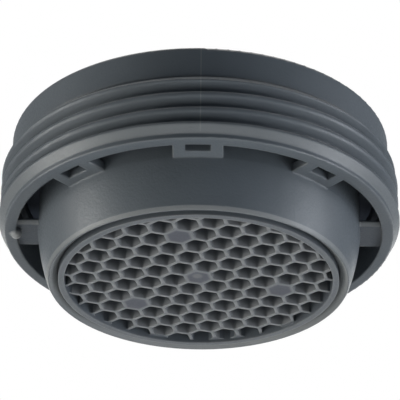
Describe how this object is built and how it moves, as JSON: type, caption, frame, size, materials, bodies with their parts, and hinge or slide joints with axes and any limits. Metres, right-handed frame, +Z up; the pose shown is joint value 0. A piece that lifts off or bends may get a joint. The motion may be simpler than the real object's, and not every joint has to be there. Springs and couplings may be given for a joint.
{
  "type": "tap aerator",
  "caption": "Screw-in tap aerator in dark plastic: a threaded ring with a plain collar, air slots crossed by small bridges, and a tapered barrel with a honeycomb outlet.",
  "frame": {"origin": "on the axis at the outlet face, the lowest plane of the part", "axes": "+Z up the axis from outlet to inlet, -Y towards the near side of the picture, +X to its right"},
  "size_m": [0.024, 0.024, 0.0101],
  "materials": {
    "housing_plastic": "fine satin",
    "insert_plastic": "fine satin",
    "inner_plastic": "matte",
    "strainer_plastic": "satin",
    "mesh_steel": "woven wire",
    "soft_rubber": "matte",
    "seal_rubber": "matte"
  },
  "bodies": {
    "root": {"housing": "housing_plastic", "honeycomb_insert": "insert_plastic", "lower_screen": "mesh_steel", "screen_spacer": "inner_plastic", "upper_screen": "mesh_steel", "jet_plate": "inner_plastic", "regulator_body": "inner_plastic", "regulator_ring": "soft_rubber", "inlet_strainer": "strainer_plastic", "seal_washer": "seal_rubber"}
  },
  "joints": []
}
